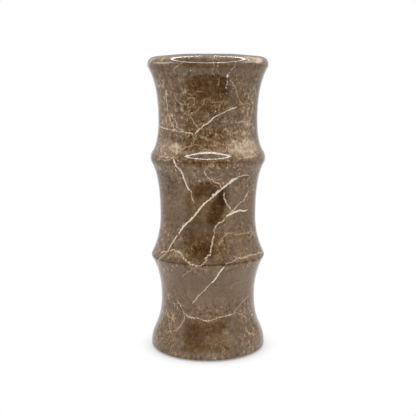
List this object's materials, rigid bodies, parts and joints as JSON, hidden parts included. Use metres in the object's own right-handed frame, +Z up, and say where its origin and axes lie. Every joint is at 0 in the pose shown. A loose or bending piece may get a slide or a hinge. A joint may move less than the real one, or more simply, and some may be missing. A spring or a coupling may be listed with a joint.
{
  "type": "vase",
  "caption": "Tall turned stone vase shaped like a bamboo stalk: waisted sections parted by raised rings, round-shouldered rim, narrow straight bore, felt pads under a flat foot.",
  "frame": {"origin": "on the floor, under the centre of the vase's foot", "axes": "+Z up along the vase's turning axis, out of its mouth; the vase is round, and the picture's camera looks along +Y, from the front"},
  "size_m": [0.102, 0.102, 0.254],
  "materials": {
    "marble": "polished brown marble with cream and tan veins",
    "felt": "dark brown pressed felt"
  },
  "bodies": {
    "root": {"stone_body": "marble", "felt_pad_front_left": "felt", "felt_pad_front_right": "felt", "felt_pad_back_left": "felt", "felt_pad_back_right": "felt"}
  },
  "joints": []
}
